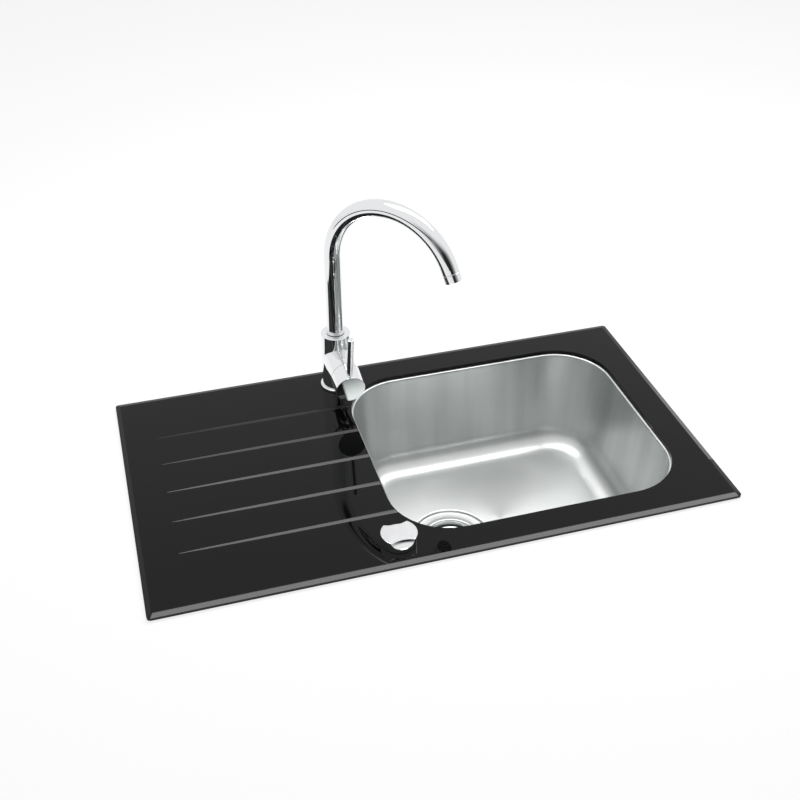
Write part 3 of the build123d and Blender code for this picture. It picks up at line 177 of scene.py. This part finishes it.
# %% [markdown]
# ## Worktop
# The sink hangs in a cut-out of the worktop, and its glass rests on the worktop's face, so the floor of this scene is
# the worktop: a large white sheet with a hole under the glass. It lies a hair below height 0, because the seal's
# underside is at height 0 and two faces in one plane would show through each other from below. Two square loops of
# edges are bridged, which leaves the hole open. The camera and the reflections see it almost white, and the rest is
# its own light and shadow.

# %% Worktop
worktop_size = 14.0
worktop_height = -0.0003
cutout_size = (0.876, 0.476)
worktop_tone = 0.86
own_light_share = 0.72
own_light_strength = 1.12


def rectangle_loop(mesh, length, depth, height):
    """Four corners and their edges."""
    corners = [
        mesh.verts.new((x * length / 2, y * depth / 2, height))
        for x, y in ((-1, -1), (1, -1), (1, 1), (-1, 1))
    ]
    return [mesh.edges.new((corners[i], corners[(i + 1) % 4])) for i in range(4)]


def put_in_scene(mesh, name, smooth=True):
    """A bmesh as an object of the scene."""
    data = bpy.data.meshes.new(name)
    for face in mesh.faces:
        face.smooth = smooth
    mesh.to_mesh(data)
    mesh.free()
    piece = bpy.data.objects.new(name, data)
    bpy.context.scene.collection.objects.link(piece)
    return piece


sheet = bmesh.new()
edges = rectangle_loop(sheet, worktop_size, worktop_size, worktop_height)
edges += rectangle_loop(sheet, *cutout_size, worktop_height)
bmesh.ops.bridge_loops(sheet, edges=edges)
bmesh.ops.recalc_face_normals(sheet, faces=sheet.faces)
worktop = put_in_scene(sheet, "worktop", smooth=False)

worktop_white, tree, shader = new_finish("worktop_white", Base_Color=(*[worktop_tone] * 3, 1), Roughness=0.8)
path = add_node(tree, "ShaderNodeLightPath")
seen = arithmetic(tree, "MAXIMUM", path.outputs["Is Camera Ray"], path.outputs["Is Glossy Ray"])
share = spread(tree, seen, 0, own_light_share, 0, 1)
glow = add_node(tree, "ShaderNodeEmission")
glow.inputs["Color"].default_value = (1, 1, 1, 1)
glow.inputs["Strength"].default_value = own_light_strength
blend = two_shaders(tree, share, shader.outputs["BSDF"], glow.outputs["Emission"])
tree.links.new(blend, tree.nodes["Material Output"].inputs["Surface"])
worktop.data.materials.append(worktop_white)
print("worktop with a cut-out of", cutout_size)

# %% [markdown]
# ## Black boom
# A lamp stand's black boom leans across the drainer's side of the studio. Only reflections see it: it is the thin
# black line that follows the swan neck.

# %% Black boom
boom_low = Vector((-1.02, 0.36, 0.0))
boom_high = Vector((-0.80, -1.15, 0.80))
boom_radius = 0.065

pole = bmesh.new()
boom_run = boom_high - boom_low
boom_middle = Matrix.Translation((boom_low + boom_high) / 2)
boom_lean = boom_run.to_track_quat("Z", "Y").to_matrix().to_4x4()
bmesh.ops.create_cone(
    pole,
    segments=24,
    radius1=boom_radius,
    radius2=boom_radius,
    depth=boom_run.length,
    cap_ends=True,
    matrix=boom_middle @ boom_lean,
)
black_boom = put_in_scene(pole, "black boom")
for ray in ("camera", "diffuse", "shadow", "transmission", "volume_scatter"):
    setattr(black_boom, "visible_" + ray, False)
boom_black, tree, shader = new_finish("boom_black", Base_Color=(0.01, 0.01, 0.01, 1), Roughness=1.0)
black_boom.data.materials.append(boom_black)
print("black boom of", round(boom_run.length, 2), "m")

# %% [markdown]
# ## Light
# The studio has one large softbox above the sink and a little behind it, white walls, and a dark room behind the
# camera. Chrome and glass show what stands round them, so the dark room draws the soft dark patch near the spout's
# end. Only reflections see the walls. For the rest the world is a weak even light.

# %% Softbox
softbox_place = Vector((0.40, 0.48, 1.60))
softbox_size = (1.9, 0.62)
softbox_watts = 25
straight_down = Vector((0, 0, -1))

softbox_data = bpy.data.lights.new("softbox", "AREA")
softbox_data.shape = "RECTANGLE"
softbox_data.size, softbox_data.size_y = softbox_size
softbox_data.energy = softbox_watts
softbox = bpy.data.objects.new("softbox", softbox_data)
softbox.location = softbox_place
softbox.rotation_mode = "QUATERNION"
softbox.rotation_quaternion = straight_down.to_track_quat("-Z", "Y")
bpy.context.scene.collection.objects.link(softbox)
bpy.context.scene.view_settings.view_transform = "Standard"
print("softbox of", softbox_watts, "watts")

# %% Walls of the studio
even_light = 0.34
wall_light = 0.95
dark_tone = 0.02
dark_side = Vector((0, -1, 0))
dark_edge, dark_middle = 0.45, 0.95
dark_top, dark_bottom = 0.74, 0.42

world = bpy.data.worlds.new("studio")
bpy.context.scene.world = world
world.use_nodes = True
tree = world.node_tree
room = tree.nodes["Background"]
room.inputs["Color"].default_value = (1, 1, 1, 1)
room.inputs["Strength"].default_value = even_light
direction = add_node(tree, "ShaderNodeTexCoord").outputs["Generated"]
upwards = axes(tree, direction)[2]
towards_dark = vector_step(tree, "DOT_PRODUCT", direction, dark_side)
facing = spread(tree, towards_dark, 0, 1, dark_edge, dark_middle)
below_ceiling = spread(tree, upwards, 1, 0, dark_bottom, dark_top)
dark_room = product(tree, facing, below_ceiling)
walls = tint(tree, dark_room, (wall_light,) * 3, (dark_tone,) * 3, 0, 1)
mirrored = add_node(tree, "ShaderNodeBackground")
tree.links.new(walls, mirrored.inputs["Color"])
backdrop = add_node(tree, "ShaderNodeBackground")
backdrop.inputs["Color"].default_value = (1, 1, 1, 1)
path = add_node(tree, "ShaderNodeLightPath")
glossy, seen = path.outputs["Is Glossy Ray"], path.outputs["Is Camera Ray"]
lit_or_mirrored = two_shaders(tree, glossy, room.outputs["Background"], mirrored.outputs["Background"])
surroundings = two_shaders(tree, seen, lit_or_mirrored, backdrop.outputs["Background"])
tree.links.new(surroundings, tree.nodes["World Output"].inputs["Surface"])
print("white walls, and a dark room towards", tuple(dark_side))

# %% [markdown]
# ## Chrome
# The tap, its lever and the turn knob are plated with chrome, a near perfect mirror. Its colour is a cool light grey,
# and its roughness is low but not zero: faint wipe marks make it wander between two small values. Two flat faces
# differ. The end of the lever's cap is turned, and its colour carries a painted reflection, dark at its upper left and
# light at its lower right. The top of the turn knob is satin, where its sides and scoops are polished.

# %% Chrome
chrome_colour = (0.83, 0.84, 0.85)
wiped_roughness = (0.02, 0.07)
plate_unevenness = 0.0000005
cap_end_normal = (0, -0.9936, -0.1132)
cap_end_painted_reflection_way = Vector((0.35, 0, -1.0)).normalized()
cap_end_span = (-0.115, -0.065)
polished_roughness, satin_roughness = 0.04, 0.20
satin_colour = (0.76, 0.76, 0.77)


def plated(name):
    """Chrome plate with a faint unevenness under it."""
    material, tree, shader = new_finish(name, Metallic=1.0, Base_Color=(*chrome_colour, 1))
    relief(tree, shader, noise(tree, 900, 2), plate_unevenness)
    return material, tree, shader


def wipe(tree, shader):
    """Faint wipe marks in a mirror's roughness."""
    tree.links.new(spread(tree, noise(tree, 45, 3), *wiped_roughness), shader.inputs["Roughness"])


def on_face(tree, normal):
    """A mask that is 1 on the flat face of a piece that looks along the normal."""
    coordinates = add_node(tree, "ShaderNodeTexCoord")
    facing = vector_step(tree, "DOT_PRODUCT", coordinates.outputs["Normal"], normal)
    return spread(tree, facing, 0, 1, 0.985, 0.995)


chrome, tree, shader = plated("chrome_plate")
wipe(tree, shader)

cap_chrome, tree, shader = plated("lever_cap_chrome")
wipe(tree, shader)
place = add_node(tree, "ShaderNodeTexCoord").outputs["Object"]
# The cap's end gets a painted reflection: its colour runs from dark at the upper left to light at the lower right.
along_painted_reflection = spread(tree, vector_step(tree, "DOT_PRODUCT", place, cap_end_painted_reflection_way), 0, 1, *cap_end_span)
painted_reflection_tint = tint(tree, along_painted_reflection, (0.16, 0.17, 0.17), (0.80, 0.81, 0.81), 0.1, 0.9)
plain_tint = add_node(tree, "ShaderNodeRGB").outputs["Color"]
plain_tint.default_value = (*chrome_colour, 1)
cap_tint_with_painted_reflection = two_colours(tree, on_face(tree, cap_end_normal), plain_tint, painted_reflection_tint)
tree.links.new(cap_tint_with_painted_reflection, shader.inputs["Base Color"])

knob_chrome, tree, shader = plated("turn_knob_chrome")
knob_face = on_face(tree, (0, 0, 1))
satin = spread(tree, knob_face, polished_roughness, satin_roughness, 0, 1)
tree.links.new(satin, shader.inputs["Roughness"])
tree.links.new(tint(tree, knob_face, chrome_colour, satin_colour), shader.inputs["Base Color"])
print("chrome, and its duller faces on the lever cap and the turn knob")

# %% [markdown]
# ## Brushed steel
# The bowl is pressed from stainless sheet and brushed along its walls, so highlights spread across the brush lines.
# The lines are a noise that is stretched along the wall, and the shader itself is anisotropic round the bowl's axis.
# The bowl's floor is a little rougher than its walls, and its colour is paler: painted light on the floor against
# painted shade on the walls. One turns into the other over the bend.

# %% Brushed steel
floor_height = -0.186
bend_height = 0.035
brush_depth = 0.0000012
brushed, tree, shader = new_finish("brushed_bowl_steel", Metallic=1.0, Anisotropic=0.4)
around = add_node(tree, "ShaderNodeTangent", direction_type="RADIAL", axis="Z")
tree.links.new(around.outputs["Tangent"], shader.inputs["Tangent"])
height = axes(tree, add_node(tree, "ShaderNodeTexCoord").outputs["Object"])[2]
on_floor = spread(tree, height, 1, 0, floor_height, floor_height + bend_height)
cloud = noise(tree, 7, 2, (1, 1, 0.4))
streak = noise(tree, 28, 2, (1, 1, 0.03))
rough = arithmetic(tree, "ADD", spread(tree, cloud, 0.31, 0.37), spread(tree, on_floor, 0, 0.05, 0, 1))
tree.links.new(rough, shader.inputs["Roughness"])
# Painted shade on the walls and painted light on the floor: the floor's colour is paler than the walls'.
wall_grain_with_painted_shade = tint(tree, streak, (0.56, 0.575, 0.573), (0.64, 0.655, 0.653), 0.35, 0.65)
floor_cloud_with_painted_light = tint(tree, cloud, (0.65, 0.665, 0.66), (0.69, 0.705, 0.70))
tree.links.new(two_colours(tree, on_floor, wall_grain_with_painted_shade, floor_cloud_with_painted_light), shader.inputs["Base Color"])
relief(tree, shader, noise(tree, 1, 2, (40, 40, 1800)), brush_depth)
print("brushed steel")

# %% [markdown]
# ## Polished steel
# The waste's cup, its basket and the bolt are turned and polished bright. Turning leaves fine rings round the waste's
# own axis, which a wave texture draws, once its mapping has the axis at its centre. The cup's brim carries a painted
# highlight, near white.

# %% Polished steel
waste_axis = (0.064, -0.020)
brim_radius = 0.0525
brim_edge = 0.001
ring_depth = 0.000001
polished, tree, shader = new_finish("polished_waste_steel", Metallic=1.0)
coordinates = add_node(tree, "ShaderNodeTexCoord")
centred = add_node(tree, "ShaderNodeMapping")
centred.inputs["Location"].default_value = (-waste_axis[0], -waste_axis[1], 0)
tree.links.new(coordinates.outputs["Object"], centred.inputs["Vector"])
rings = add_node(tree, "ShaderNodeTexWave", wave_type="RINGS", rings_direction="Z")
rings.inputs["Scale"].default_value = 320
rings.inputs["Distortion"].default_value = 0.6
tree.links.new(centred.outputs["Vector"], rings.inputs["Vector"])
tree.links.new(spread(tree, rings.outputs["Fac"], 0.26, 0.34, 0, 1), shader.inputs["Roughness"])
flat = vector_step(tree, "MULTIPLY", centred.outputs["Vector"], (1, 1, 0))
from_axis = vector_step(tree, "LENGTH", flat)
# The brim gets a painted highlight: its colour is near white.
brim = spread(tree, from_axis, 0, 1, brim_radius - brim_edge, brim_radius)
steel_tone_with_painted_highlight = tint(tree, brim, (0.58, 0.595, 0.59), (0.95, 0.95, 0.95))
tree.links.new(steel_tone_with_painted_highlight, shader.inputs["Base Color"])
relief(tree, shader, rings.outputs["Fac"], ring_depth)
print("polished steel, with a brighter brim round the cup")

# %% [markdown]
# ## Black glass
# The top is toughened glass, black on its underside. Its face, its bevel and the rims of its holes are polished, and
# only the drainer's grooves are left as the wheel ground them, rough and pale; their colour also carries painted light,
# pale at the front and fading to near black at the back. One shader covers both: a groove is where the mesh lies below
# the face and inside the drainer, and both can be read from Object coordinates. The bowl's opening is a rectangle with
# round corners, and its rim is told from a groove by the distance to that outline. The bevel mirrors a little more than
# the face does.

# %% Black glass
glass_face = 0.008
opening_middle = Vector((0.161, 0, 0))
opening_half = Vector((0.2335, 0.198, 0))
opening_corner = 0.094
rim_chamfer = 0.0009
drainer_end = -0.4
drainer_side = 0.16
bevel_end = 0.4425
bevel_side = 0.2425
deep_enough, shallow = 0.00006, 0.00001
face_mirror, bevel_mirror = 1.27, 1.36
polished_rough, ground_rough = 0.015, 0.45

glass, tree, shader = new_finish("black_top_glass")
place = add_node(tree, "ShaderNodeTexCoord").outputs["Object"]
along, back, height = axes(tree, place)
from_middle, from_middle_line, _ = axes(tree, vector_step(tree, "ABSOLUTE", place))
flat = vector_step(tree, "MULTIPLY", place, (1, 1, 0))
reach = vector_step(tree, "ABSOLUTE", vector_step(tree, "SUBTRACT", flat, opening_middle))
corner = Vector((opening_corner, opening_corner, 0))
beyond = vector_step(tree, "SUBTRACT", reach, opening_half - corner)
from_corner = vector_step(tree, "LENGTH", vector_step(tree, "MAXIMUM", beyond, (0, 0, 0)))
rim = opening_corner + rim_chamfer
below_face = spread(tree, height, 1, 0, glass_face - deep_enough, glass_face - shallow)
clear_of_rim = spread(tree, from_corner, 0, 1, rim, rim + 0.0001)
between_ends = spread(tree, along, 0, 1, drainer_end, drainer_end + 0.001)
between_sides = spread(tree, from_middle_line, 1, 0, drainer_side, drainer_side + 0.001)
ground = product(tree, below_face, clear_of_rim, between_ends, between_sides)
on_ends = spread(tree, from_middle, 0, 1, bevel_end, bevel_end + 0.0005)
on_sides = spread(tree, from_middle_line, 0, 1, bevel_side, bevel_side + 0.0005)
on_bevel = arithmetic(tree, "MAXIMUM", on_ends, on_sides)
tree.links.new(spread(tree, on_bevel, face_mirror, bevel_mirror, 0, 1), shader.inputs["IOR"])
speckle = noise(tree, 1500, 1)
body_tint = tint(tree, speckle, (0.0012, 0.0013, 0.0014), (0.0065, 0.0067, 0.0069), 0.40, 0.66)
# The grooves' colour is painted light: pale at the front, fading to near black at the back.
groove_tone_with_painted_light = tint(tree, back, (0.15,) * 3, (0.008,) * 3, 0.0, drainer_side)
tree.links.new(two_colours(tree, ground, body_tint, groove_tone_with_painted_light), shader.inputs["Base Color"])
tree.links.new(spread(tree, ground, polished_rough, ground_rough, 0, 1), shader.inputs["Roughness"])
print("black glass")

# %% [markdown]
# ## Plain finishes under the worktop
# Zinc plate, aluminium, brass, rubber, foam, adhesive and plastics hold the sink and its taps together. Each is a
# short recipe: a colour that wanders a little, a roughness that wanders with it, and the grain of its making. One
# function makes them all from a table, because only the numbers differ.

# %% Plain finishes
grains_to_a_cloud = 12
plain_recipes = {
    # name: (darker colour, lighter colour, roughness, grain to the metre, grain depth, metal)
    "zinc_plate": ((0.50, 0.51, 0.50), (0.64, 0.65, 0.62), (0.28, 0.42), 260, 8e-6, 1.0),
    "brass": ((0.62, 0.46, 0.20), (0.74, 0.58, 0.28), (0.24, 0.36), 420, 5e-6, 1.0),
    "channel_aluminium": ((0.66, 0.67, 0.68), (0.76, 0.77, 0.78), (0.34, 0.46), 300, 6e-6, 1.0),
    "black_rubber": ((0.012, 0.012, 0.013), (0.026, 0.026, 0.027), (0.55, 0.75), 900, 2e-5, 0.0),
    "grey_foam": ((0.030, 0.030, 0.032), (0.062, 0.062, 0.064), (0.85, 0.95), 1300, 1.2e-4, 0.0),
    "adhesive": ((0.028, 0.028, 0.028), (0.045, 0.045, 0.045), (0.35, 0.5), 120, 6e-5, 0.0),
    "damping_pad": ((0.045, 0.047, 0.050), (0.085, 0.088, 0.092), (0.80, 0.92), 650, 1.5e-4, 0.0),
    "black_plastic": ((0.014, 0.014, 0.015), (0.024, 0.024, 0.025), (0.32, 0.45), 800, 1.5e-5, 0.0),
    "grey_plastic": ((0.30, 0.31, 0.32), (0.37, 0.38, 0.39), (0.36, 0.5), 700, 1.5e-5, 0.0),
    "white_plastic": ((0.74, 0.74, 0.73), (0.82, 0.82, 0.80), (0.3, 0.42), 600, 1.2e-5, 0.0),
    "ceramic": ((0.80, 0.79, 0.76), (0.88, 0.87, 0.85), (0.12, 0.2), 900, 2e-6, 0.0),
}


def plain_finish(name, dark, light, rough, grain, depth, metal):
    """A finish whose colour, roughness and grain come from a recipe."""
    material, tree, shader = new_finish("plain_" + name, Metallic=metal)
    cloud = noise(tree, grain / grains_to_a_cloud, 3)
    tree.links.new(tint(tree, cloud, dark, light), shader.inputs["Base Color"])
    tree.links.new(spread(tree, cloud, *rough), shader.inputs["Roughness"])
    relief(tree, shader, noise(tree, grain, 2), depth)
    return material


finishes = {name: plain_finish(name, *recipe) for name, recipe in plain_recipes.items()}
finishes.update(chrome=chrome, brushed_steel=brushed, polished_steel=polished, black_glass=glass)
print(len(finishes), "finishes")

# %% [markdown]
# ## Finishes on the pieces
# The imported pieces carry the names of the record's material slots, so each slot is swapped for the finish that was
# made under that name. The lever's cap and the turn knob get chrome of their own.

# %% Finishes on the pieces
own_finish = {"lever_cap": cap_chrome, "pop_up_knob": knob_chrome}
for name, node in nodes.items():
    for holder in node.material_slots:
        holder.material = own_finish.get(name, finishes[holder.material.name])
print("finishes assigned to", len(nodes), "pieces")
